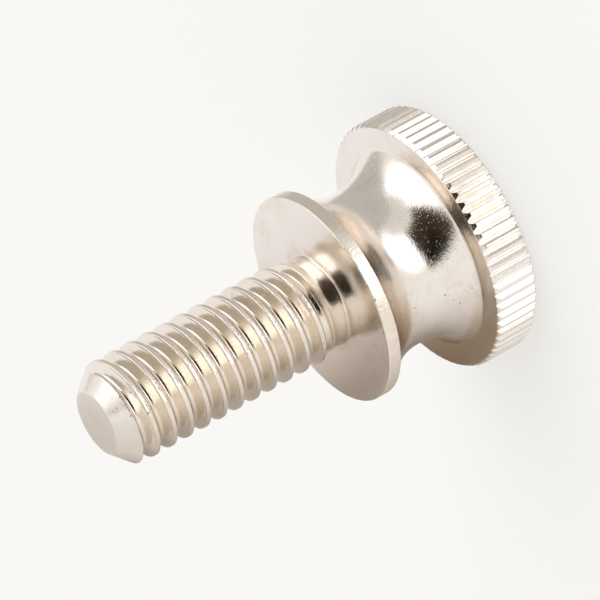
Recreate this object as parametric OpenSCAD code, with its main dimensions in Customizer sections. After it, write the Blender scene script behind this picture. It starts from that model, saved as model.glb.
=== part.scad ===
// Thumb screw: a round knurled head, a hollow-sided neck, a thin bearing collar and a threaded
// shank, all turned from one bar.  Units are millimetres.
// Frame: the origin is the centre of the head's flat top face, +Z runs up the screw to its tip.
// The screw stands on its head, with the thread up.

/* [Head] */
// Diameter over the knurled head
head_d = 19.05;  // [16:0.05:24]
// Height of the head, from its flat top face to the flat ring under it
head_h = 3.4;  // [2.4:0.1:5]
// Bevel round the head's top edge
head_top_bevel = 0.2;  // [0.05:0.05:0.6]
// Bevel round the head's lower edge
head_under_bevel = 0.25;  // [0.05:0.05:0.6]

/* [Knurl] */
// Number of straight grooves round the head
knurl_count = 71;  // [48:1:90]
// Depth of each groove
knurl_depth = 0.28;  // [0.1:0.01:0.35]
// Share of each pitch that is left as a flat land between two grooves
knurl_land = 0.26;  // [0.2:0.02:0.7]
// Share of each pitch that is the flat floor of a groove
knurl_floor = 0.06;  // [0.05:0.01:0.25]
// Turn of the groove pattern about the axis, in degrees
knurl_phase = 4.6;  // [0:0.1:7.5]

/* [Neck and collar] */
// Diameter of the neck at its narrowest
neck_d = 12.08;  // [10:0.05:13]
// Radius of the hollow curve that forms the neck
neck_curve = 4.9;  // [4.5:0.05:6]
// Distance from the head's top face to the narrowest part of the neck
neck_mid = 7.02;  // [6.8:0.02:7.3]
// Distance from the head's top face to the collar's bearing face
collar_z = 11.8;  // [11.6:0.05:12.2]
// Diameter of the collar
collar_d = 15.875;  // [15.4:0.025:17]
// Thickness of the collar's rim
collar_rim = 1.02;  // [0.8:0.02:1.2]
// Bevel on each edge of the collar's rim
collar_bevel = 0.08;  // [0.02:0.01:0.2]

/* [Shank and thread] */
// Length from the collar's bearing face to the tip
shank_l = 19.05;  // [12:0.05:40]
// Diameter of the plain shank under the collar
shank_d = 6.8;  // [6.5:0.05:7]
// Radius of the fillet between the plain shank and the collar
shank_fillet = 0.18;  // [0.05:0.01:0.3]
// Diameter over the thread's crests
thread_d = 7.7;  // [7.6:0.01:7.9]
// Thread pitch
thread_pitch = 1.411;  // [1.25:0.001:1.5]
// Depth of the thread, from crest to root
thread_depth = 0.73;  // [0.6:0.01:0.8]
// Width of the flat on the thread's crest
thread_crest = 0.26;  // [0.15:0.01:0.45]
// Angle between the two flanks of the thread
thread_angle = 60;  // [55:1:62]
// Distance from the tip to the first crest centre on the +X side
thread_lead = 0.49;  // [0:0.01:1.4]
// Plain length between the collar and the first trace of the thread
thread_start = 0.8;  // [0.8:0.05:3]
// Length over which the thread rises to its full height
thread_runout = 1.2;  // [0.8:0.05:3]
// Diameter of the flat face at the tip
tip_d = 4.76;  // [3.5:0.02:5.6]
// Angle of the tip's bevel, measured from the axis
tip_angle = 45;  // [35:1:60]

/* [Hidden] */

// Facets of one thread turn and of the smooth round surfaces
turn_steps = 36;
round_steps = 96;
// Allowance by which cutters and joined pieces pass each other
over = 1;

head_r = head_d / 2;
neck_r = neck_d / 2;
collar_r = collar_d / 2;
shank_r = shank_d / 2;
crest_r = thread_d / 2;
root_r = crest_r - thread_depth;
tip_r = tip_d / 2;
tip_z = collar_z + shank_l;
collar_back = collar_z - collar_rim;

// The hollow neck is a ring of round section, its centre this far from the axis
neck_ring_r = neck_r + neck_curve;

// Thread form: one flank's length along the axis, then the root flat that is left
flank_w = thread_depth * tan(thread_angle / 2);
root_w = thread_pitch - thread_crest - 2 * flank_w;

// The cone that trims the thread where it runs out, and the cone that fills its root there
runout_z = collar_z + thread_start;
runout_slope = (crest_r - shank_r) / thread_runout;
fill_slope = (shank_r - root_r) / thread_runout;

module knurl_section() {
    pitch_a = 360 / knurl_count;
    floor_r = head_r - knurl_depth;
    // Lands are taken past the head so that its own surface stays on them
    land_r = head_r + knurl_depth;
    spread = (1 - knurl_land - knurl_floor) / 2;
    outer_spread = spread * (land_r - floor_r) / knurl_depth;
    half_floor = knurl_floor / 2;
    half_open = half_floor + outer_spread;
    polygon([
        for (i = [0 : knurl_count - 1])
            for (p = [[-half_open, land_r], [-half_floor, floor_r], [half_floor, floor_r], [half_open, land_r]])
                let (a = pitch_a * (i + p[0]) + knurl_phase)
                [p[1] * cos(a), p[1] * sin(a)]
    ]);
}

module knurl_cutter() {
    translate([0, 0, -over])
        linear_extrude(height = head_h + 2 * over, convexity = 4)
            difference() {
                circle(r = head_r + 2 * over, $fn = round_steps);
                knurl_section();
            }
}

module head_outline() {
    polygon([
        [0, 0],
        [head_r - head_top_bevel, 0],
        [head_r, head_top_bevel],
        [head_r, head_h - head_under_bevel],
        [head_r - head_under_bevel, head_h],
        [0, head_h]
    ]);
}

module waist_outline() {
    difference() {
        polygon([
            [0, head_h / 2],
            [collar_r, head_h / 2],
            [collar_r, collar_z - collar_bevel],
            [collar_r - collar_bevel, collar_z],
            [0, collar_z]
        ]);
        translate([neck_ring_r, neck_mid])
            circle(r = neck_curve, $fn = round_steps);
        // Takes the bar down to the head's underside and to the collar's back edge
        translate([collar_r - collar_bevel, neck_mid - neck_curve])
            square([over, collar_back - neck_mid + neck_curve]);
    }
}

module shank_outline() {
    fill_end = runout_z + 2 * thread_runout;
    difference() {
        polygon([
            [0, collar_z - collar_rim / 2],
            [shank_r + shank_fillet, collar_z - collar_rim / 2],
            [shank_r + shank_fillet, collar_z + shank_fillet],
            [shank_r, collar_z + shank_fillet],
            [shank_r, runout_z],
            [shank_r - fill_slope * (fill_end - runout_z), fill_end],
            [0, fill_end]
        ]);
        translate([shank_r + shank_fillet, collar_z + shank_fillet])
            circle(r = shank_fillet, $fn = round_steps / 2);
    }
}

module body() {
    color("silver")
        rotate_extrude($fn = round_steps) {
            head_outline();
            waist_outline();
            shank_outline();
        }
}

// Everything the thread may fill: a cone at the run-out, a free length, then the tip's bevel
module thread_room() {
    free_r = crest_r + over / 2;
    low_r = shank_r - runout_slope * thread_start;
    rise_z = runout_z + (free_r - shank_r) / runout_slope;
    fall_z = tip_z - (free_r - tip_r) / tan(tip_angle);
    rotate_extrude($fn = round_steps)
        polygon([
            [0, collar_z],
            [low_r, collar_z],
            [free_r, rise_z],
            [free_r, fall_z],
            [tip_r, tip_z],
            [0, tip_z]
        ]);
}

// A right-hand helical rod, longer than the thread at both ends
module thread_rod() {
    start = tip_z - thread_lead - ceil((shank_l - thread_lead) / thread_pitch) * thread_pitch;
    turns = ceil((tip_z - start) / thread_pitch) + 1;
    main = turns * turn_steps;
    form = [
        [-thread_crest / 2 - flank_w - root_w, root_r],
        [-thread_crest / 2 - flank_w, root_r],
        [-thread_crest / 2, crest_r],
        [thread_crest / 2, crest_r]
    ];
    function spot(i, j) = [
        form[j][1] * cos(360 * i / turn_steps),
        form[j][1] * sin(360 * i / turn_steps),
        start + thread_pitch * i / turn_steps + form[j][0]
    ];
    function at(i, j) = i <= main ? 4 * i + j : 4 * (main + 1) + (i - main - 1);
    function side(i, j) = j < 4 ? at(i, j) : at(i + turn_steps, 0);
    last = main + turn_steps;
    foot = 4 * (main + 1) + turn_steps;
    top = foot + 1;
    points = concat(
        [for (i = [0 : main]) for (j = [0 : 3]) spot(i, j)],
        [for (i = [main + 1 : last]) spot(i, 0)],
        [[0, 0, start - thread_pitch], [0, 0, start + thread_pitch * (turns + 1)]]
    );
    faces = concat(
        [for (i = [0 : main - 1]) for (j = [0 : 3]) [side(i, j), side(i, j + 1), side(i + 1, j + 1)]],
        [for (i = [0 : main - 1]) for (j = [0 : 3]) [side(i, j), side(i + 1, j + 1), side(i + 1, j)]],
        [for (i = [0 : turn_steps - 1]) [foot, side(i, 0), side(i + 1, 0)]],
        [[foot, side(0, 4), side(0, 3), side(0, 2), side(0, 1), side(0, 0)]],
        [for (i = [main : last - 1]) [top, at(i + 1, 0), at(i, 0)]],
        [[top, side(main, 0), side(main, 1), side(main, 2), side(main, 3), side(main, 4)]]
    );
    polyhedron(points = points, faces = faces, convexity = 20);
}

module thread() {
    color("gainsboro")
        intersection() {
            thread_rod();
            thread_room();
        }
}

module thumb_screw() {
    difference() {
        body();
        knurl_cutter();
    }
    thread();
}

thumb_screw();
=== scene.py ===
import math

import bmesh
import bpy
from bpy.props import FloatProperty, FloatVectorProperty, IntProperty, PointerProperty
from bpy.types import Operator, Panel, PropertyGroup
from mathutils import Matrix, Vector


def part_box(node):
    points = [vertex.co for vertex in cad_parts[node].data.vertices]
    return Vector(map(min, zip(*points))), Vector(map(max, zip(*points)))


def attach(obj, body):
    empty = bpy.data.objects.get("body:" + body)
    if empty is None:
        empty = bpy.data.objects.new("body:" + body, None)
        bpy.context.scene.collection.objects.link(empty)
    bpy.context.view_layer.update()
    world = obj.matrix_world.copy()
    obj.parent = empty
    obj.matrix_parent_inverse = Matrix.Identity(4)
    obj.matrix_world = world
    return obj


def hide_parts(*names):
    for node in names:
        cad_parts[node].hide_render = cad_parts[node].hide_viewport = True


bl_info = {
    "name": "Knurled Thumb Screw",
    "version": (1, 0, 0),
    "blender": (4, 5, 0),
    "location": "3D View > Sidebar > Thumb Screw",
    "description": "Turns, knurls, threads and plates a collared thumb screw",
    "category": "Object",
}

NODE = "thumb_screw"
BODY = "root"
MM = 0.001
FULL_TURN = 2 * math.pi

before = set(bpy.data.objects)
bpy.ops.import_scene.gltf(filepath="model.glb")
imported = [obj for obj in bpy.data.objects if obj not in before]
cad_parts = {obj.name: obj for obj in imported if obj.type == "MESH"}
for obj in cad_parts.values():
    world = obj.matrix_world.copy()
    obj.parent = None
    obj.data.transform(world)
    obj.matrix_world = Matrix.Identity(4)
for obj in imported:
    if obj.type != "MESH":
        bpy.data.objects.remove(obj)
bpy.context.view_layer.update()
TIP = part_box(NODE)[1]


def millimetres(value):
    return value * MM


# Points closer than this are one point, on a turned shape and where repeated parts meet
TOUCHING = 1e-7
WELD = 1e-6
# Faces that meet at a steeper angle than this keep a sharp edge
SHARP_ANGLE = math.radians(35)


# ---------------------------------------------------------------- sizes and colours


class HeadSizes(PropertyGroup):
    """The round head and the straight grooves cut round it"""

    radius: FloatProperty(
        name="Radius", description="Radius over the lands of the knurl",
        default=millimetres(9.525), min=0.004, max=0.03, unit="LENGTH", precision=5)
    height: FloatProperty(
        name="Height", description="From the flat top face to the flat ring under the head",
        default=millimetres(3.4), min=0.001, max=0.01, unit="LENGTH", precision=5)
    top_bevel: FloatProperty(
        name="Top Bevel", description="Bevel round the edge of the top face",
        default=millimetres(0.2), min=0.0, max=0.001, unit="LENGTH", precision=5)
    under_bevel: FloatProperty(
        name="Under Bevel", description="Bevel round the lower edge of the head, across the axis",
        default=millimetres(0.19), min=0.0, max=0.001, unit="LENGTH", precision=5)
    under_rise: FloatProperty(
        name="Under Bevel Rise",
        description="Bevel round the lower edge of the head, along the axis",
        default=millimetres(0.31), min=0.0, max=0.001, unit="LENGTH", precision=5)
    grooves: IntProperty(
        name="Grooves", description="Number of straight grooves round the head",
        default=71, min=12, max=160)
    groove_depth: FloatProperty(
        name="Groove Depth", description="Depth of each groove below the lands",
        default=millimetres(0.28), min=0.0, max=0.001, unit="LENGTH", precision=5)
    land_share: FloatProperty(
        name="Land Share", description="Part of each pitch left as a land between two grooves",
        default=0.26, min=0.1, max=0.8, subtype="FACTOR")
    floor_share: FloatProperty(
        name="Floor Share", description="Part of each pitch that is the flat floor of a groove",
        default=0.06, min=0.02, max=0.5, subtype="FACTOR")
    groove_turn: FloatProperty(
        name="Groove Turn", description="Turn of the groove pattern about the screw's axis",
        default=math.radians(4.6), subtype="ANGLE")
    groove_edge: FloatProperty(
        name="Groove Edge", description="Softness of the edges between lands, sides and floors",
        default=millimetres(0.035), min=0.0, max=0.0005, unit="LENGTH", precision=5)


class WaistSizes(PropertyGroup):
    """The hollow neck and the thin collar under it"""

    neck_radius: FloatProperty(
        name="Neck Radius", description="Radius of the neck at its narrowest",
        default=millimetres(6.04), min=0.002, max=0.02, unit="LENGTH", precision=5)
    hollow: FloatProperty(
        name="Hollow", description="Radius of the hollow curve along the neck",
        default=millimetres(4.9), min=0.002, max=0.02, unit="LENGTH", precision=5)
    middle: FloatProperty(
        name="Middle", description="Height of the narrowest place above the head's top face",
        default=millimetres(7.02), min=0.002, max=0.02, unit="LENGTH", precision=5)
    lip: FloatProperty(
        name="Lip", description="Small fillet where the flare meets the flat ring under the head",
        default=millimetres(0.15), min=0.0, max=0.001, unit="LENGTH", precision=5)
    collar_height: FloatProperty(
        name="Collar Height", description="Height of the bearing face above the head's top face",
        default=millimetres(11.8), min=0.005, max=0.03, unit="LENGTH", precision=5)
    collar_radius: FloatProperty(
        name="Collar Radius", description="Radius of the collar",
        default=millimetres(7.9375), min=0.004, max=0.02, unit="LENGTH", precision=5)
    rim: FloatProperty(
        name="Rim", description="Thickness of the collar at its edge",
        default=millimetres(1.02), min=0.0002, max=0.003, unit="LENGTH", precision=5)
    rim_bevel: FloatProperty(
        name="Rim Bevel", description="Rounded bevel on both edges of the collar",
        default=millimetres(0.08), min=0.0, max=0.0005, unit="LENGTH", precision=5)


class ThreadSizes(PropertyGroup):
    """The shank, its thread and the bevelled tip"""

    shank_radius: FloatProperty(
        name="Shank Radius", description="Radius of the plain shank under the collar",
        default=millimetres(3.4), min=0.001, max=0.01, unit="LENGTH", precision=5)
    fillet: FloatProperty(
        name="Fillet", description="Fillet between the shank and the collar",
        default=millimetres(0.18), min=0.0, max=0.001, unit="LENGTH", precision=5)
    crest_radius: FloatProperty(
        name="Crest Radius", description="Radius over the crests of the thread",
        default=millimetres(3.85), min=0.001, max=0.01, unit="LENGTH", precision=5)
    pitch: FloatProperty(
        name="Pitch", description="Advance of the thread in one turn",
        default=millimetres(1.411), min=0.0003, max=0.004, unit="LENGTH", precision=5)
    crest_width: FloatProperty(
        name="Crest Width", description="Width of the flat on the crests",
        default=millimetres(0.26), min=0.0, max=0.001, unit="LENGTH", precision=5)
    flank_angle: FloatProperty(
        name="Flank Angle", description="Angle between the two flanks",
        default=math.radians(60), min=0.5, max=1.5, subtype="ANGLE")
    shoulder: FloatProperty(
        name="Shoulder", description="Rounding of the crest's shoulders",
        default=millimetres(0.07), min=0.0, max=0.0005, unit="LENGTH", precision=5)
    seam: FloatProperty(
        name="Seam", description="Depth of the rolled seam along the middle of the crest",
        default=millimetres(0.014), min=0.0, max=0.0005, unit="LENGTH", precision=5)
    root_arc: FloatProperty(
        name="Root Arc", description="Radius of the arc in which the flanks meet at the root",
        default=millimetres(0.23), min=0.00005, max=0.001, unit="LENGTH", precision=5)
    lead: FloatProperty(
        name="Lead", description="From the tip to the first crest on the +X side",
        default=millimetres(0.49), min=0.0, max=0.004, unit="LENGTH", precision=5)
    start: FloatProperty(
        name="Start", description="Plain length between the collar and the first trace of thread",
        default=millimetres(1.05), min=0.0, max=0.01, unit="LENGTH", precision=5)
    runout: FloatProperty(
        name="Run-out", description="Length over which the thread rises to its full height",
        default=millimetres(1.2), min=0.0001, max=0.01, unit="LENGTH", precision=5)
    tip_radius: FloatProperty(
        name="Tip Radius", description="Radius of the flat face at the tip",
        default=millimetres(2.38), min=0.0005, max=0.01, unit="LENGTH", precision=5)
    tip_angle: FloatProperty(
        name="Tip Angle", description="Angle of the tip's bevel from the axis",
        default=math.radians(45), min=0.3, max=1.3, subtype="ANGLE")


class PlatingFinish(PropertyGroup):
    """The bright nickel plating"""

    colour: FloatVectorProperty(
        name="Colour", description="Colour of the clean plating",
        default=(0.87, 0.80, 0.725), size=3, min=0.0, max=1.0, subtype="COLOR")
    # Painted shade: a darker colour for the thread's roots, where shade falls; the crests and the
    # collar's rim take the same colour
    root_shade_and_edges_colour: FloatVectorProperty(
        name="Valley", description="Colour of the plating down in the thread",
        default=(0.86, 0.775, 0.665), size=3, min=0.0, max=1.0, subtype="COLOR")
    # This colour also paints shade: in the corner at the collar's face, on the neck under the
    # collar and on one side of the ring under the head
    stain_and_shade_colour: FloatVectorProperty(
        name="Stain", description="Colour of the thin brown film on the plating",
        default=(0.66, 0.545, 0.42), size=3, min=0.0, max=1.0, subtype="COLOR")
    dirt_colour: FloatVectorProperty(
        name="Dirt", description="Colour of the dirt in pits, nicks and corners",
        default=(0.20, 0.13, 0.075), size=3, min=0.0, max=1.0, subtype="COLOR")
    roughness: FloatProperty(
        name="Roughness", description="Roughness of the clean plating",
        default=0.13, min=0.0, max=1.0, subtype="FACTOR")
    # This strength also scales the painted shade in the corner at the collar's face and on the
    # neck under the collar
    stain_and_shade_strength: FloatProperty(
        name="Stains", description="Strength of the brown film",
        default=0.45, min=0.0, max=1.0, subtype="FACTOR")
    peel: FloatProperty(
        name="Peel", description="Height of the soft unevenness under the plating",
        default=millimetres(0.009), min=0.0, max=0.0001, unit="LENGTH", precision=6)
    grain: FloatProperty(
        name="Grain", description="Height of the fine grain of the plating",
        default=millimetres(0.006), min=0.0, max=0.0001, unit="LENGTH", precision=6)
    turning: FloatProperty(
        name="Turning Marks",
        description="Height of the lines that the cutter left round the axis",
        default=millimetres(0.0025), min=0.0, max=0.0001, unit="LENGTH", precision=6)
    knots: FloatProperty(
        name="Knots",
        description="Height of the unevenness on the thread's crests and the collar's rim",
        default=millimetres(0.04), min=0.0, max=0.0002, unit="LENGTH", precision=6)
    pits: FloatProperty(
        name="Pits", description="Depth of the pits and nicks",
        default=millimetres(0.03), min=0.0, max=0.0002, unit="LENGTH", precision=6)


class StudioSetting(PropertyGroup):
    """Floor, reflector table and the lights round them"""

    floor_colour: FloatVectorProperty(
        name="Floor", description="Colour of the floor",
        default=(0.953, 0.946, 0.926), size=3, min=0.0, max=1.0, subtype="COLOR")
    floor_glow: FloatProperty(
        name="Floor Glow", description="Part of the floor's colour that the shadow does not reach",
        default=0.4, min=0.0, max=1.0, subtype="FACTOR")
    floor_lift: FloatProperty(
        name="Floor Lift", description="Light of that part, which levels the floor out",
        default=1.1, min=0.0, max=2.0)
    table_colour: FloatVectorProperty(
        name="Table", description="Colour of the reflector table beside the screw",
        default=(0.965, 0.945, 0.91), size=3, min=0.0, max=1.0, subtype="COLOR")
    table_glow: FloatProperty(
        name="Table Glow", description="Part of the table's colour that the shadow does not reach",
        default=0.3, min=0.0, max=1.0, subtype="FACTOR")
    table_lift: FloatProperty(
        name="Table Lift", description="Light of that part, as a share of the lamps' own",
        default=0.77, min=0.0, max=2.0)
    lamp_colour: FloatVectorProperty(
        name="Softboxes", description="Light of the two softboxes",
        default=(1.75, 1.80, 1.92), size=3, min=0.0, max=4.0)
    wall_colour: FloatVectorProperty(
        name="Wall", description="Light of the wall behind the screw",
        default=(0.57, 0.555, 0.54), size=3, min=0.0, max=4.0)
    ceiling_colour: FloatVectorProperty(
        name="Ceiling", description="Light of the ceiling over the screw",
        default=(0.76, 0.75, 0.74), size=3, min=0.0, max=4.0)
    room_colour: FloatVectorProperty(
        name="Room", description="Light of the dim room in front of the screw",
        default=(0.045, 0.028, 0.016), size=3, min=0.0, max=4.0)
    deep_colour: FloatVectorProperty(
        name="Deep Room", description="Light of the darkest part of the room",
        default=(0.006, 0.004, 0.003), size=3, min=0.0, max=4.0)


# ---------------------------------------------------------------- node expressions

# Sockets of a Mix node that are set for colours, which share their names with others
MIX_FACTOR, MIX_UNDER, MIX_OVER = 0, 6, 7
MIX_COLOUR = 2


class Wire:
    """One socket of a node tree, with Python's operators adding Math nodes"""

    def __init__(self, tree, socket=None):
        self.tree = tree
        self.socket = socket

    def node(self, kind, settings=None, sockets=None, output=0):
        """Adds a node: its settings first, then the values or wires of its sockets"""
        made = self.tree.nodes.new(kind)
        for name, value in (settings or {}).items():
            setattr(made, name, value)
        for name, value in (sockets or {}).items():
            socket = made.inputs[name]
            if isinstance(value, Wire):
                self.tree.links.new(value.socket, socket)
            else:
                socket.default_value = value
        return Wire(self.tree, made.outputs[output])

    def output(self, name):
        """Another output of the same node"""
        return Wire(self.tree, self.socket.node.outputs[name])

    def maths(self, operation, *values):
        """Adds a Math node"""
        return self.node("ShaderNodeMath", {"operation": operation}, dict(enumerate(values)))

    def __add__(self, other):
        return self.maths("ADD", self, other)

    def __radd__(self, other):
        return self.maths("ADD", other, self)

    def __sub__(self, other):
        return self.maths("SUBTRACT", self, other)

    def __rsub__(self, other):
        return self.maths("SUBTRACT", other, self)

    def __mul__(self, other):
        return self.maths("MULTIPLY", self, other)

    def __rmul__(self, other):
        return self.maths("MULTIPLY", other, self)

    def __truediv__(self, other):
        return self.maths("DIVIDE", self, other)

    def __rtruediv__(self, other):
        return self.maths("DIVIDE", other, self)

    def __abs__(self):
        return self.maths("ABSOLUTE", self)

    def alone(self, operation):
        """An operation on this value alone"""
        return self.maths(operation, self)

    def over(self, limit):
        """One where the value is above the limit, nothing elsewhere"""
        return self.maths("GREATER_THAN", self, limit)

    def least(self, other, soft=None):
        """The lesser of two values, rounded where a softness is given"""
        if soft is None:
            return self.maths("MINIMUM", self, other)
        return self.maths("SMOOTH_MIN", self, other, soft)

    def most(self, other, soft=None):
        """The greater of two values, rounded where a softness is given"""
        if soft is None:
            return self.maths("MAXIMUM", self, other)
        return self.maths("SMOOTH_MAX", self, other, soft)


def ramp(value, low, high):
    """Nothing below the low value, one above the high value, and a smooth step between"""
    return value.node("ShaderNodeMapRange", {"interpolation_type": "SMOOTHSTEP"}, {
        "Value": value, "From Min": low, "From Max": high})


def band(value, low, high, soft):
    """One between the low and the high value, with soft edges"""
    return ramp(value, low - soft, low + soft) * (1.0 - ramp(value, high - soft, high + soft))


def mix(factor, under, over):
    """Lays one colour over another"""
    return factor.node("ShaderNodeMix", {"data_type": "RGBA"}, {
        MIX_FACTOR: factor, MIX_UNDER: under, MIX_OVER: over}, MIX_COLOUR)


def along(vector, direction):
    """How far a vector reaches in a fixed direction"""
    return vector.node("ShaderNodeVectorMath", {"operation": "DOT_PRODUCT"}, {
        0: vector, 1: tuple(direction)}).output("Value")


def opaque(colour):
    """A property's colour with the fourth value that a socket takes"""
    return (*colour, 1.0)


def empty_tree(owner):
    """Clears the nodes of a material or a world, and returns a wire to build on"""
    owner.use_nodes = True
    owner.node_tree.nodes.clear()
    return Wire(owner.node_tree)


def to_surface(shader, kind="ShaderNodeOutputMaterial"):
    """Feeds a shader to its tree's output"""
    end = shader.tree.nodes.new(kind)
    shader.tree.links.new(shader.socket, end.inputs["Surface"])


def plan(name, inputs):
    """An empty Geometry Nodes tree with named inputs, and a wire from each"""
    tree = bpy.data.node_groups.new(name, "GeometryNodeTree")
    tree.interface.new_socket("Geometry", in_out="OUTPUT", socket_type="NodeSocketGeometry")
    tree.interface.new_socket("Geometry", in_out="INPUT", socket_type="NodeSocketGeometry")
    for label, kind in inputs:
        tree.interface.new_socket(label, in_out="INPUT", socket_type="NodeSocket" + kind)
    start = tree.nodes.new("NodeGroupInput")
    wires = {socket.name: Wire(tree, socket) for socket in start.outputs if socket.name}
    return tree, wires


def close_plan(tree, geometry):
    """Feeds the finished geometry to the tree's output"""
    end = tree.nodes.new("NodeGroupOutput")
    tree.links.new(geometry.socket, end.inputs[0])


def run_plan(name, mesh, tree, values):
    """Evaluates a tree once on a mesh and returns the plain mesh that it makes"""
    carrier = bpy.data.objects.new(name, mesh)
    bpy.context.scene.collection.objects.link(carrier)
    modifier = carrier.modifiers.new(name, "NODES")
    modifier.node_group = tree
    for item in tree.interface.items_tree:
        if item.item_type == "SOCKET" and item.in_out == "INPUT" and item.name in values:
            modifier[item.identifier] = values[item.name]
    evaluated = carrier.evaluated_get(bpy.context.evaluated_depsgraph_get())
    result = bpy.data.meshes.new_from_object(evaluated)
    carrier.modifiers.remove(modifier)
    bpy.data.objects.remove(carrier)
    if not result.polygons:
        raise RuntimeError(name + " came out empty")
    result.name = name
    return result


# ---------------------------------------------------------------- turned shapes

# The first row on the head's top face and the last on its under face, as shares of the
# radius, and how far its core runs back from the under face, as a share of the height
TOP_ROW, UNDER_ROW, CORE_SHARE = 0.3, 0.7, 0.2
# How far a groove's edge spreads, as a share of the pitch, and how many times that the next
# column lies from the edge, up on the wall and out on the land
EDGE_SHARE = 0.022
ON_WALL, ON_LAND = 2.2, 1.3
# Heights on a groove's wall, as shares of the depth, of the under bevel's two outer rows
OUTER_ROWS = (0.84, 0.92)
# Steps along the hollow curve of the neck
HOLLOW_STEPS = 48
# The neck's closing rows inside the head: at its axis, and just under the flat ring
CORE_DEPTH = millimetres(0.8)
RING_DEPTH = millimetres(0.02)
# Radius of the bearing face's innermost ring, which lies inside the shank
INNER_RING = millimetres(2)


def arc(centre, radius, first, last, steps):
    """Points along an arc in the (r, z) plane, from one angle to another in degrees"""
    points = []
    for step in range(steps + 1):
        angle = math.radians(first + (last - first) * step / steps)
        points.append((centre[0] + radius * math.cos(angle),
                       centre[1] + radius * math.sin(angle)))
    return points


def between(a, b, steps):
    """Points from a towards b, without b"""
    return [(a[0] + (b[0] - a[0]) * i / steps, a[1] + (b[1] - a[1]) * i / steps)
            for i in range(steps)]


def lathe(name, outline, columns, radius_at=None):
    """Turns an outline of (r, z) points about the axis.

    Columns are a number of them all the way round, or the angles in radians of one sector
    that is repeated later. A sector's squares are halved along the walls of its groove, one
    way on one side of it and the other way on the other."""
    full = isinstance(columns, int)
    angles = [FULL_TURN * i / columns for i in range(columns)] if full else columns
    form = bmesh.new()
    rows = []
    for r, z in outline:
        row = []
        for place, angle in enumerate(angles):
            at = radius_at(r, place) if radius_at else r
            row.append(form.verts.new((at * math.cos(angle), at * math.sin(angle), z)))
        rows.append(row)
    count = len(angles)
    for low, high in zip(rows, rows[1:]):
        for i in range(count if full else count - 1):
            j = (i + 1) % count
            if full:
                form.faces.new((low[i], low[j], high[j], high[i]))
            elif i < count // 2:
                form.faces.new((low[i], low[j], high[j]))
                form.faces.new((low[i], high[j], high[i]))
            else:
                form.faces.new((low[i], low[j], high[i]))
                form.faces.new((low[j], high[j], high[i]))
    if full:
        bmesh.ops.remove_doubles(form, verts=form.verts, dist=TOUCHING)
        bmesh.ops.recalc_face_normals(form, faces=form.faces)
    mesh = bpy.data.meshes.new(name)
    form.to_mesh(mesh)
    form.free()
    return mesh


def head_outline(size):
    """The head from the middle of its top face out and back to its core, as (r, z) points"""
    r, h, top = size.radius, size.height, size.top_bevel
    under, rise = size.under_bevel, size.under_rise
    soft = top * 0.25
    points = [(0.0, 0.0)]
    points += between((r * TOP_ROW, 0.0), (r - top - soft, 0.0), 3)
    points += [(r - top - soft, 0.0), (r - top, soft * 0.3)]
    points += [(r - soft * 0.3, top), (r, top + soft)]
    points += between((r, top + 2 * soft), (r, h - rise - soft), 3)
    points += [(r, h - rise - soft)]
    # The bevel's rows cross the groove walls on the pattern's own columns, which keeps the
    # edge between them clean
    for wall in sorted(wall_places(size), reverse=True):
        at = r - (1 - wall) * size.groove_depth
        points += [(at, h - rise + (r - at) / under * (rise - soft * 0.3))]
    points += [(r - under - soft, h)]
    points += between((r - under - 2 * soft, h), (r * UNDER_ROW, h), 2)
    points += [(r * UNDER_ROW, h), (0.0, h - h * CORE_SHARE)]
    return points


def wall_places(size):
    """Heights on the groove walls, as shares of the depth, at which the bevel's rows lie"""
    lowest = 1 - size.under_bevel / size.groove_depth
    upper, highest = OUTER_ROWS
    return [lowest, lowest + (upper - lowest) / 2, upper, highest]


def groove_pattern(size):
    """Angles across one pitch of the knurl, with the height on the wall at each"""
    half_floor = size.floor_share / 2
    half_open = (1 - size.land_share) / 2
    edge = EDGE_SHARE
    places = [0.0, half_floor - edge, half_floor + edge, half_floor + ON_WALL * edge]
    places += [half_floor + (half_open - half_floor) * wall for wall in wall_places(size)]
    places += [half_open, half_open + ON_LAND * edge, 0.5]
    pitch = FULL_TURN / size.grooves
    pattern = []
    for place in [-p for p in reversed(places)] + places[1:]:
        wall = (abs(place) - half_floor) / (half_open - half_floor)
        pattern.append((place * pitch, wall))
    return pattern


def soft_least(a, b, soft):
    """The lesser of two values, rounded where they are closer than the softness"""
    blend = max(soft - abs(a - b), 0.0) / soft
    return min(a, b) - blend ** 3 * soft / 6


def soft_most(a, b, soft):
    """The greater of two values, rounded in the same way"""
    return -soft_least(-a, -b, soft)


def waist_outline(size, head):
    """The neck and the collar from inside the head to inside the shank, as (r, z) points"""
    centre = (size.neck_radius + size.hollow, size.middle)
    top = size.collar_height
    edge = size.collar_radius
    soft = size.rim_bevel
    back = top - size.rim
    # The flare ends in a small concave lip, which runs out on the ring under the head
    lip = size.lip
    low = head.height + lip * 0.6
    first = math.degrees(math.asin((low - centre[1]) / size.hollow))
    last = math.degrees(math.acos((centre[0] - (edge - soft)) / size.hollow))
    flare = arc(centre, size.hollow, 180 - first, 180 - last, HOLLOW_STEPS)
    r, ring = flare[0][0], head.height
    points = [(0.0, ring - CORE_DEPTH), (r + lip, ring - CORE_DEPTH)]
    points += [(r + lip * 1.5, ring - RING_DEPTH)]
    points += [(r + lip * 0.95, ring + lip * 0.06), (r + lip * 0.45, ring + lip * 0.25)]
    points += flare
    points += [(edge - soft * 0.6, flare[-1][1] + soft * 0.15)]
    points += arc((edge - soft, back + soft), soft, -45, 0, 3)
    points += between((edge, back + soft * 2), (edge, top - soft), 3)
    points += arc((edge - soft, top - soft), soft, 0, 90, 5)
    points += between((edge - 2 * soft, top), (INNER_RING, top), 6)
    points += [(INNER_RING, top), (0.0, top)]
    return points


# ---------------------------------------------------------------- pieces

# What the steps have made so far: the turned meshes and the plating
stock = {}


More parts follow.
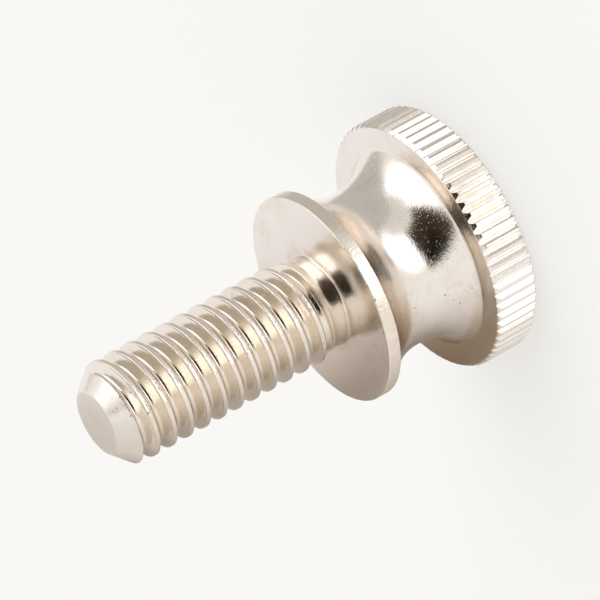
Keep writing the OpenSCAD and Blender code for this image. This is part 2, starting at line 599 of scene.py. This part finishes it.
class THUMBSCREW_OT_knurled_head(Operator):
    """Makes the round head from one grooved sector, repeated round the axis"""

    bl_idname = "thumbscrew.knurled_head"
    bl_label = "Knurled Head"

    # How far a wall goes on under the floor, as a share of the depth, before the floor's
    # rounding takes it up, and the rounding of the lands as a share of the floors'
    WALL_END = -0.3
    LAND_SOFT = 0.3

    def execute(self, context):
        size = context.scene.thumbscrew_head
        pattern = groove_pattern(size)
        floor_r = size.radius - size.groove_depth

        def cut(r, place):
            """Radius at a column of the pattern, with the groove cut into it"""
            wall = floor_r + max(pattern[place][1], self.WALL_END) * size.groove_depth
            wall = soft_most(wall, floor_r, size.groove_edge)
            if r < floor_r - size.groove_edge:
                return r
            return soft_least(r, wall, size.groove_edge * self.LAND_SOFT)

        sector = lathe("head_sector", head_outline(size), [angle for angle, wall in pattern], cut)
        tree, wires = plan("knurled head", [
            ("Grooves", "Int"), ("Groove Turn", "Float"), ("Weld", "Float"),
            ("Plating", "Material")])
        step = FULL_TURN / wires["Grooves"]
        line = step.node("GeometryNodeMeshLine", {"mode": "OFFSET"}, {
            "Count": wires["Grooves"], "Offset": (0, 0, 0)})
        angle = step.node("GeometryNodeInputIndex") * step + wires["Groove Turn"]
        turn = step.node("ShaderNodeCombineXYZ", {}, {"Z": angle})
        placed = step.node("GeometryNodeInstanceOnPoints", {}, {
            "Points": line, "Instance": wires["Geometry"], "Rotation": turn})
        solid = step.node("GeometryNodeRealizeInstances", {}, {"Geometry": placed})
        closed = step.node("GeometryNodeMergeByDistance", {}, {
            "Geometry": solid, "Distance": wires["Weld"]})
        close_plan(tree, step.node("GeometryNodeSetMaterial", {}, {
            "Geometry": closed, "Material": wires["Plating"]}))
        stock["head"] = run_plan("knurled_head", sector, tree, {
            "Grooves": size.grooves, "Groove Turn": size.groove_turn, "Weld": WELD,
            "Plating": nickel_plate(context)})
        return {"FINISHED"}


class THUMBSCREW_OT_waist(Operator):
    """Turns the hollow neck and the collar"""

    bl_idname = "thumbscrew.waist"
    bl_label = "Neck and Collar"

    COLUMNS = 240

    def execute(self, context):
        scene = context.scene
        outline = waist_outline(scene.thumbscrew_waist, scene.thumbscrew_head)
        stock["waist"] = lathe("waist", outline, self.COLUMNS)
        return {"FINISHED"}


class THUMBSCREW_OT_thread(Operator):
    """Cuts the right-hand thread, its run-out and the bevelled tip"""

    bl_idname = "thumbscrew.thread"
    bl_label = "Threaded Shank"

    # Columns round the axis, rows over the flat face of the tip, and rows inside the collar
    COLUMNS = 60
    CAP_ROWS = 14
    FOOT_ROWS = 8
    # Rounding where the thread meets the tip's bevel, its run-out, the filled roots and the tip
    BEVEL_SOFT = millimetres(0.06)
    RISE_SOFT = millimetres(0.1)
    FILL_SOFT = millimetres(0.08)
    END_SOFT = millimetres(0.07)
    # The seam's half width as a share of the crest's width, and its grain round the axis and
    # from row to row
    SEAM_SHARE = 0.45
    SEAM_ROUND = 3.34
    SEAM_ALONG = 0.02

    def execute(self, context):
        size = context.scene.thumbscrew_thread
        waist = context.scene.thumbscrew_waist
        tip_height = TIP.z
        step = size.pitch / self.COLUMNS
        tip_row = math.ceil((tip_height - waist.collar_height) / step) + self.FOOT_ROWS
        rows = tip_row + self.CAP_ROWS + 1
        names = ["Crest Radius", "Root Radius", "Pitch", "Crest Width", "Flank Fall", "Shoulder",
                 "Root Arc", "Root Reach", "Seam", "Lead", "Tip Height", "Tip Radius",
                 "Tip Spread", "Shank Radius", "Fillet", "Collar Height", "Run-out Start",
                 "Run-out Slope", "Fill Slope"]
        tree, w = plan("threaded shank", [(name, "Float") for name in names] + [
            ("Columns", "Int"), ("Rows", "Int"), ("Tip Row", "Int"), ("Weld", "Float"),
            ("Plating", "Material")])

        # A flat grid, whose rows climb the axis from inside the collar to the tip
        across = w["Columns"] + 1
        grid = across.node("GeometryNodeMeshGrid", {}, {
            "Size X": 1.0, "Size Y": 1.0, "Vertices X": w["Rows"], "Vertices Y": across})
        index = across.node("GeometryNodeInputIndex")
        row = ((index + 0.5) / across).alone("FLOOR")
        column = index - row * across
        climb = row - w["Tip Row"]
        past = climb * w["Pitch"] / w["Columns"]
        level = w["Tip Height"] + past

        # Distance along the axis from the middle of the nearest crest
        turns = (climb - column) / w["Columns"] + w["Lead"] / w["Pitch"]
        off = abs((turns + 0.5).alone("FRACT") - 0.5) * w["Pitch"]
        # Distance from the middle of the root: an arc first, then the straight flank
        away = w["Pitch"] / 2 - off
        inner = away.least(w["Root Reach"])
        curve = w["Root Arc"] - (w["Root Arc"] * w["Root Arc"] - inner * inner).alone("SQRT")
        flank = w["Root Radius"] + curve + (away - w["Root Reach"]).most(0.0) * w["Flank Fall"]
        rib = flank.least(w["Crest Radius"], w["Shoulder"])
        # The two lips that rolling leaves on the crest close unevenly along the seam
        angle = column * FULL_TURN / w["Columns"]
        cosine, sine = angle.alone("COSINE"), angle.alone("SINE")
        spot = off.node("ShaderNodeCombineXYZ", {}, {
            "X": cosine * self.SEAM_ROUND, "Y": sine * self.SEAM_ROUND,
            "Z": row * self.SEAM_ALONG})
        uneven = off.node("ShaderNodeTexNoise", {"noise_dimensions": "3D"}, {
            "Vector": spot, "Scale": 1.0, "Detail": 2.0}) * 2.0
        seam = (1.0 - off / (w["Crest Width"] * self.SEAM_SHARE)).most(0.0)
        rib = rib - seam * w["Seam"] * uneven

        # The tip's bevel and the run-out cut the thread off, and its roots fill up to the shank
        bevel = w["Tip Radius"] - past * w["Tip Spread"]
        rise = w["Shank Radius"] + (level - w["Run-out Start"]) * w["Run-out Slope"]
        fill = w["Shank Radius"] - (level - w["Run-out Start"]).most(0.0) * w["Fill Slope"]
        rib = rib.least(bevel, self.BEVEL_SOFT).least(rise, self.RISE_SOFT)
        rib = rib.most(fill, self.FILL_SOFT)

        drop = (w["Collar Height"] + w["Fillet"] - level).most(0.0).least(w["Fillet"])
        fillet = w["Fillet"] - (w["Fillet"] * w["Fillet"] - drop * drop).most(0.0).alone("SQRT")
        rib = rib + fillet

        # Past the tip's edge the rows run in over the flat face to its centre
        share = (climb / self.CAP_ROWS).most(0.0)
        end = past.most(0.0)
        last = w["Pitch"] / w["Columns"] * self.CAP_ROWS
        cap = w["Tip Radius"] - end - (w["Tip Radius"] - last) * share * share
        rib = rib.least(cap.most(0.0) + (1.0 - climb.over(0.5)))
        # The first row lies on the axis and closes the foot inside the collar
        rib = rib * row.over(0.5)
        height = level.least(w["Tip Height"], self.END_SOFT)

        spot = angle.node("ShaderNodeCombineXYZ", {}, {
            "X": rib * cosine, "Y": rib * sine, "Z": height})
        placed = angle.node("GeometryNodeSetPosition", {}, {"Geometry": grid, "Position": spot})
        # Every square is halved along the climb of the thread
        halved = angle.node("GeometryNodeTriangulate", {"quad_method": "FIXED"}, {"Mesh": placed})
        closed = angle.node("GeometryNodeMergeByDistance", {}, {
            "Geometry": halved, "Distance": w["Weld"]})
        solid = angle.node("GeometryNodeRealizeInstances", {}, {"Geometry": closed})
        close_plan(tree, angle.node("GeometryNodeSetMaterial", {}, {
            "Geometry": solid, "Material": w["Plating"]}))

        # The arc is tangent to both flanks, which sets the root's own radius
        lean = size.flank_angle / 2
        fall = 1 / math.tan(lean)
        reach = size.root_arc * math.cos(lean)
        slack = (size.pitch - size.crest_width) / 2 - reach
        root_radius = size.crest_radius - slack * fall - size.root_arc * (1 - math.sin(lean))
        blank = bpy.data.meshes.new("thread_blank")
        stock["thread"] = run_plan("threaded_shank", blank, tree, {
            "Crest Radius": size.crest_radius, "Root Radius": root_radius, "Pitch": size.pitch,
            "Crest Width": size.crest_width, "Flank Fall": fall, "Shoulder": size.shoulder,
            "Root Arc": size.root_arc, "Root Reach": reach, "Seam": size.seam,
            "Lead": size.lead, "Tip Height": tip_height, "Tip Radius": size.tip_radius,
            "Tip Spread": math.tan(size.tip_angle), "Shank Radius": size.shank_radius,
            "Fillet": size.fillet, "Collar Height": waist.collar_height,
            "Run-out Start": waist.collar_height + size.start,
            "Run-out Slope": (size.crest_radius - size.shank_radius) / size.runout,
            "Fill Slope": (size.shank_radius - root_radius) / size.runout,
            "Columns": self.COLUMNS, "Rows": rows, "Tip Row": tip_row, "Weld": WELD,
            "Plating": nickel_plate(context)})
        return {"FINISHED"}


# Nicks and pits that can be told apart, as (x, y, z, radius) in millimetres
NICKS = ((2.5, -7.15, 11.8, 0.17), (2.15, -7.63, 11.78, 0.13), (-1.82, -7.72, 11.72, 0.15),
         (-4.07, -6.5, 11.8, 0.12), (-2.9, -7.3, 10.8, 0.1), (0.4, -7.9, 10.82, 0.12),
         (-4.51, -4.65, 4.98, 0.09), (-4.9, -4.52, 4.62, 0.08), (-3.67, -4.92, 8.03, 0.09),
         (-3.4, -5.0, 7.19, 0.07), (-3.9, -4.91, 5.52, 0.08), (-4.38, -5.72, 3.84, 0.08),
         (0.78, -3.42, 29.72, 0.16), (-0.67, -3.46, 29.69, 0.14), (1.73, -3.44, 27.6, 0.12),
         (-1.06, -3.7, 28.65, 0.14), (-2.65, -2.78, 28.74, 0.12), (-2.11, -3.22, 19.8, 0.12),
         (-0.64, -3.79, 21.67, 0.1), (-0.81, -3.76, 20.19, 0.1))
# Cells to a millimetre that may hold a pit, and the lot above which one does: one in nine
PIT_CELLS, PIT_LOT = 1.15, 0.89
# Turning lines to a millimetre, and how much they change along the turn
LINES, LINE_DRIFT = 9.0, 0.7


def nickel_plate(context):
    """The plating's material, made once: bright metal with grain, film, pits and worn edges, and
    painted shade in the thread's roots, at the collar and on one side of the ring under the head
    """
    if "plate" in stock:
        return stock["plate"]
    finish = context.scene.thumbscrew_plating
    head = context.scene.thumbscrew_head
    waist = context.scene.thumbscrew_waist
    thread = context.scene.thumbscrew_thread
    material = bpy.data.materials.new("nickel_plate")
    start = empty_tree(material)
    place = start.node("ShaderNodeVectorMath", {"operation": "SCALE"}, {
        0: start.node("ShaderNodeTexCoord").output("Object"), "Scale": 1 / MM})
    parts = start.node("ShaderNodeSeparateXYZ", {}, {0: place})
    x, y, z = parts.output("X"), parts.output("Y"), parts.output("Z")
    reach = (x * x + y * y).alone("SQRT")

    def noise(vector, scale, detail=2.0):
        """Noise with the grains counted per millimetre"""
        return start.node("ShaderNodeTexNoise", {"noise_dimensions": "3D"}, {
            "Vector": vector, "Scale": scale, "Detail": detail, "Roughness": 0.55})

    # Lines round the axis, from a noise that hardly changes along the turn
    round_about = start.node("ShaderNodeCombineXYZ", {}, {
        "X": reach * LINES + x / reach * LINE_DRIFT,
        "Y": z * LINES + y / reach * LINE_DRIFT, "Z": 0.0})
    lines = noise(round_about, 1.0, 3.0)
    peel = noise(place, 1.5)
    grain = noise(place, 8.0)
    film_and_shade = ramp(noise(place, 0.32, 4.0), 0.42, 0.72) * ramp(noise(place, 1.9, 3.0), 0.25, 0.7)

    # Single pits here and there, and the nicks that can be told apart
    cells = start.node("ShaderNodeTexVoronoi", {"feature": "F1"}, {
        "Vector": place, "Scale": PIT_CELLS})
    lot = start.node("ShaderNodeSeparateXYZ", {}, {0: cells.output("Color")})
    pit = (1.0 - ramp(cells, 0.03, 0.10)) * lot.over(PIT_LOT)
    for nick_x, nick_y, nick_z, size in NICKS:
        away = start.node("ShaderNodeVectorMath", {"operation": "DISTANCE"}, {
            0: place, 1: (nick_x, nick_y, nick_z)}).output("Value")
        pit = pit.most(1.0 - ramp(away + (grain - 0.5) * 0.12, size * 0.2, size * 0.85))

    # Heights and radii of the parts that differ in finish, in millimetres
    under = head.height / MM
    top = waist.collar_height / MM
    tip = TIP.z / MM
    shank = thread.shank_radius / MM
    crest = thread.crest_radius / MM
    edge = waist.collar_radius / MM
    on_crest = ramp(reach, crest - 0.13, crest - 0.05) * ramp(z, top + 0.9, top + 1.6)
    on_crest = on_crest * (1.0 - ramp(reach, crest + 0.2, crest + 0.4))
    on_rim = ramp(reach, edge - 0.12, edge - 0.02) * ramp(z, top - 1.3, top - 1.1)
    on_rim = on_rim * (1.0 - ramp(reach, edge + 0.1, edge + 0.3))
    knots = noise(place, 5.5, 3.0)
    specks = ramp(noise(place, 8.5, 1.0), 0.60, 0.76)
    specks = specks * (0.4 + 0.6 * ramp(noise(place, 2.2), 0.4, 0.6))

    # Painted shade in the stain's colour, broken up by noise: in the corner where the shank meets
    # the collar's face, and on the neck just under the collar on the side towards the camera
    corner_shade = ramp(z, top - 0.02, top) * (1.0 - ramp(z, top + 0.1, top + 0.5))
    corner_shade = corner_shade * (1.0 - ramp(reach, shank + 0.3, shank + 0.9))
    hollow = ramp(z, top - 2.6, top - 1.6) * (1.0 - ramp(z, top - 1.05, top - 0.95))
    hollow = hollow * ramp(y * -1.0, 1.0, 5.0)
    film_and_shade = (film_and_shade + (corner_shade * 1.2 + hollow * 1.8) * ramp(peel, 0.3, 0.6)).least(1.0)
    # Painted shade: the ring under the head is browner on the side towards the reflector table
    ring = (1.0 - ramp(z, under + 0.2, under + 0.7)) * ramp(z, under - 0.2, under - 0.05)
    ring = ring * ramp(y * 0.5 - x, 1.0, 7.5) * 1.3
    # Painted shade: the thread's roots take the darker colour where shade falls, and the collar's
    # rim and, in part, the crests take it too
    root_shade_and_edges = (1.0 - ramp(reach, crest - 0.25, crest - 0.08)) * ramp(z, top + 0.1, top + 1.2)
    root_shade_and_edges = root_shade_and_edges * (1.0 - ramp(z, tip - 2.05, tip - 1.45)) + on_rim + on_crest * 0.7
    colour = mix(root_shade_and_edges, opaque(finish.colour), opaque(finish.root_shade_and_edges_colour))
    # The stain's colour lays the film, and painted shade in the corner, under the collar and on
    # one side of the ring
    colour = mix((film_and_shade * finish.stain_and_shade_strength + ring).least(1.0), colour, opaque(finish.stain_and_shade_colour))
    colour = mix(pit * 0.55, colour, opaque(finish.dirt_colour))
    roughness = finish.roughness + (peel - 0.5) * 0.08 + film_and_shade * 0.06 + pit * 0.25 + on_rim * 0.05

    on_shank = ramp(z, top, top + 0.1)
    height = (peel * finish.peel + (grain * 1.2 + specks) * finish.grain
              + lines * (0.25 + on_shank) * finish.turning
              + knots * (on_crest + on_rim * 0.7) * finish.knots - pit * finish.pits)
    bump = start.node("ShaderNodeBump", {}, {"Strength": 1.0, "Distance": 1.0, "Height": height})
    to_surface(start.node("ShaderNodeBsdfPrincipled", {}, {
        "Base Color": colour, "Metallic": 1.0, "Roughness": roughness, "Normal": bump}))
    stock["plate"] = material
    return material


class THUMBSCREW_OT_assemble(Operator):
    """Joins the turned shapes into one screw and plates it"""

    bl_idname = "thumbscrew.assemble"
    bl_label = "Join and Plate"

    def execute(self, context):
        form = bmesh.new()
        for name in ("head", "waist", "thread"):
            form.from_mesh(stock[name])
        bmesh.ops.recalc_face_normals(form, faces=form.faces)
        mesh = bpy.data.meshes.new("plated_screw")
        form.to_mesh(mesh)
        form.free()
        mesh.materials.append(nickel_plate(context))
        for polygon in mesh.polygons:
            polygon.use_smooth = True
            polygon.material_index = 0
        mesh.set_sharp_from_angle(angle=SHARP_ANGLE)
        piece = bpy.data.objects.new("plated_screw", mesh)
        context.scene.collection.objects.link(piece)
        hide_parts(NODE)
        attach(piece, BODY)
        return {"FINISHED"}


# ---------------------------------------------------------------- studio

# The directions of the studio: up from the reflector table, out to the front and to the right
TABLE_UP = Vector((0.7801, -0.5889, -0.2112)).normalized()
FRONT = Vector((-0.3966, -0.7265, 0.5612)).normalized()
RIGHT = Vector((-0.4839, -0.3541, -0.8003)).normalized()
# Half a side of the floor and of the table, and how far the table keeps below the rims
STAGE_REACH = 3.0
TABLE_GAP = millimetres(0.28)
# Distances beside the screw between which the table's painted light, its glow, rises to its full
# share
PAINTED_LIGHT_NEAR, PAINTED_LIGHT_FAR = millimetres(3), millimetres(20)

# The camera's lens and sensor in millimetres, its place, its right and the way it looks, and
# the nearest and the furthest that it sees
LENS = 260.75
SENSOR = 36.0
CAMERA_PLACE = Vector((0.0, -276.776, 136.024)) * MM
CAMERA_RIGHT = Vector((-0.48387, -0.35410, -0.80030)).normalized()
CAMERA_AHEAD = Vector((0.0022, 0.91399, -0.40574)).normalized()
NEAREST, FURTHEST = 0.01, 10.0


def sheet_of(name, middle, length, width, material):
    """A flat stage piece from its middle and two half sides"""
    mesh = bpy.data.meshes.new(name)
    spots = [middle - length - width, middle + length - width,
             middle + length + width, middle - length + width]
    mesh.from_pydata([tuple(spot) for spot in spots], [], [(0, 1, 2, 3)])
    mesh.materials.append(material)
    piece = bpy.data.objects.new(name, mesh)
    bpy.context.scene.collection.objects.link(piece)
    return piece


def only_for(piece, *rays):
    """Shows a stage piece to some kinds of ray only"""
    for ray in ("camera", "diffuse", "glossy", "transmission", "volume_scatter", "shadow"):
        setattr(piece, "visible_" + ray, ray in rays)


def half_lit(start, colour, light, strength, share):
    """A matt surface that gives a share of its light whatever falls on it"""
    lit = start.node("ShaderNodeBsdfDiffuse", {}, {"Color": opaque(colour)})
    glow = start.node("ShaderNodeEmission", {}, {"Color": opaque(light), "Strength": strength})
    return start.node("ShaderNodeMixShader", {}, {0: share, 1: lit, 2: glow})


def floor_paint(setting):
    """Pale floor that keeps a soft shadow"""
    paint = bpy.data.materials.new("pale_floor")
    colour = setting.floor_colour
    to_surface(half_lit(empty_tree(paint), colour, colour, setting.floor_lift, setting.floor_glow))
    return paint


def table_paint(setting):
    """White table with painted light: its glow rises with distance from the screw"""
    card = bpy.data.materials.new("white_table")
    start = empty_tree(card)
    beside = TABLE_UP.cross(Vector((0, 0, 1))).normalized()
    away = abs(along(start.node("ShaderNodeTexCoord").output("Object"), beside))
    # Painted light: the table glows more the further it lies from the screw
    share = ramp(away, PAINTED_LIGHT_NEAR, PAINTED_LIGHT_FAR) * setting.table_glow
    to_surface(half_lit(
        start, setting.table_colour, setting.lamp_colour, setting.table_lift, share))
    return card


def studio_world(setting):
    """Softboxes, wall, ceiling and dim room round the screw, as the plating mirrors them"""
    world = bpy.data.worlds.new("studio")
    start = empty_tree(world)
    way = start.node("ShaderNodeTexCoord").output("Generated")
    bearing = start.maths("ARCTAN2", along(way, RIGHT), along(way, FRONT)) * (180 / math.pi)
    height = along(way, TABLE_UP).alone("ARCSINE") * (180 / math.pi)
    wall, ceiling = opaque(setting.wall_colour), opaque(setting.ceiling_colour)
    lamp, white = opaque(setting.lamp_colour), opaque(setting.floor_colour)
    room, deep = opaque(setting.room_colour), opaque(setting.deep_colour)

    # All edges are in degrees: bearings from the front, with how soft they are, and heights
    # over the table
    all_but_wall = (-123.0, 115.0, 10.0)
    left_box, right_box = (-120.0, -45.0, 8.0), (38.0, 108.0, 7.0)
    dim_room, dim_height, deep_room = (-40.0, 36.0, 5.0), (4.0, 60.0, 5.0), (-10.0, 45.0, 9.0)

    light = mix(ramp(height, 56.0, 76.0), white, ceiling)
    light = mix(band(bearing, *all_but_wall), wall, light)
    # From this bearing on, the lower edges of the softboxes rise towards the wall
    bend, left_rise, right_rise = 60.0, 0.12, 0.45
    sunk = height + (bearing + bend).least(0.0) * left_rise
    left = band(bearing, *left_box) * ramp(sunk, 10.0, 26.0) * (1.0 - ramp(height, 52.0, 68.0))
    light = mix(left, light, lamp)
    sunk = height - (bearing - bend).most(0.0) * right_rise
    right = band(bearing, *right_box) * ramp(sunk, 7.0, 19.0) * (1.0 - ramp(height, 50.0, 66.0))
    light = mix(right, light, lamp)
    darkest = band(bearing, *deep_room) * (1.0 - ramp(height, 24.0, 42.0))
    dim = band(bearing, *dim_room) * band(height, *dim_height)
    light = mix(dim, light, mix(darkest, room, deep))
    light = mix(1.0 - ramp(height, -2.0, 1.0), light, white)
    to_surface(start.node("ShaderNodeBackground", {}, {"Color": light, "Strength": 1.0}),
               "ShaderNodeOutputWorld")
    return world


class THUMBSCREW_OT_studio(Operator):
    """Lays the floor and the reflector table, and sets the lights and the camera"""

    bl_idname = "thumbscrew.studio"
    bl_label = "Studio"

    def execute(self, context):
        scene = context.scene
        setting = scene.thumbscrew_studio
        head = scene.thumbscrew_head
        floor = sheet_of("floor", Vector((0, 0, 0)), Vector((STAGE_REACH, 0, 0)),
                         Vector((0, STAGE_REACH, 0)), floor_paint(setting))
        only_for(floor, "camera")

        # The table lies under the rims of the head and the collar, and only the plating shows it
        out = Vector((TABLE_UP.x, TABLE_UP.y, 0)).normalized()
        touch = Vector((-out.x * head.radius, -out.y * head.radius, head.height))
        table = sheet_of("reflector_table", touch - TABLE_UP * TABLE_GAP,
                         FRONT * STAGE_REACH, RIGHT * STAGE_REACH, table_paint(setting))
        only_for(table, "glossy")
        scene.world = studio_world(setting)

        camera_data = bpy.data.cameras.new("camera")
        camera_data.lens = LENS
        camera_data.sensor_width = SENSOR
        camera_data.clip_start = NEAREST
        camera_data.clip_end = FURTHEST
        camera = bpy.data.objects.new("camera", camera_data)
        scene.collection.objects.link(camera)
        up = CAMERA_RIGHT.cross(CAMERA_AHEAD).normalized()
        pose = Matrix((CAMERA_RIGHT, up, -CAMERA_AHEAD)).transposed().to_4x4()
        pose.translation = CAMERA_PLACE
        camera.matrix_world = pose
        scene.camera = camera
        scene.view_settings.view_transform = "Standard"
        return {"FINISHED"}


# ---------------------------------------------------------------- panel and registration


class THUMBSCREW_PT_panel(Panel):
    """Lists the sizes and colours, and the steps that make the screw and its studio"""

    bl_idname = "THUMBSCREW_PT_panel"
    bl_label = "Thumb Screw"
    bl_space_type = "VIEW_3D"
    bl_region_type = "UI"
    bl_category = "Thumb Screw"

    def draw(self, context):
        for name, kind in GROUPS.items():
            box = self.layout.box()
            box.label(text=kind.__doc__)
            for size in kind.__annotations__:
                box.prop(getattr(context.scene, name), size)
        for step in STEPS:
            self.layout.operator(step.bl_idname)


GROUPS = {"thumbscrew_head": HeadSizes, "thumbscrew_waist": WaistSizes,
          "thumbscrew_thread": ThreadSizes, "thumbscrew_plating": PlatingFinish,
          "thumbscrew_studio": StudioSetting}
STEPS = (THUMBSCREW_OT_knurled_head, THUMBSCREW_OT_waist, THUMBSCREW_OT_thread,
         THUMBSCREW_OT_assemble, THUMBSCREW_OT_studio)
CLASSES = (*GROUPS.values(), *STEPS, THUMBSCREW_PT_panel)


def register():
    for kind in CLASSES:
        bpy.utils.register_class(kind)
    for name, kind in GROUPS.items():
        setattr(bpy.types.Scene, name, PointerProperty(type=kind))


def unregister():
    for name in GROUPS:
        delattr(bpy.types.Scene, name)
    for kind in reversed(CLASSES):
        bpy.utils.unregister_class(kind)


def main():
    """Makes the whole scene"""
    register()
    for step in STEPS:
        group, name = step.bl_idname.split(".")
        getattr(getattr(bpy.ops, group), name)()


if __name__ == "__main__":
    main()
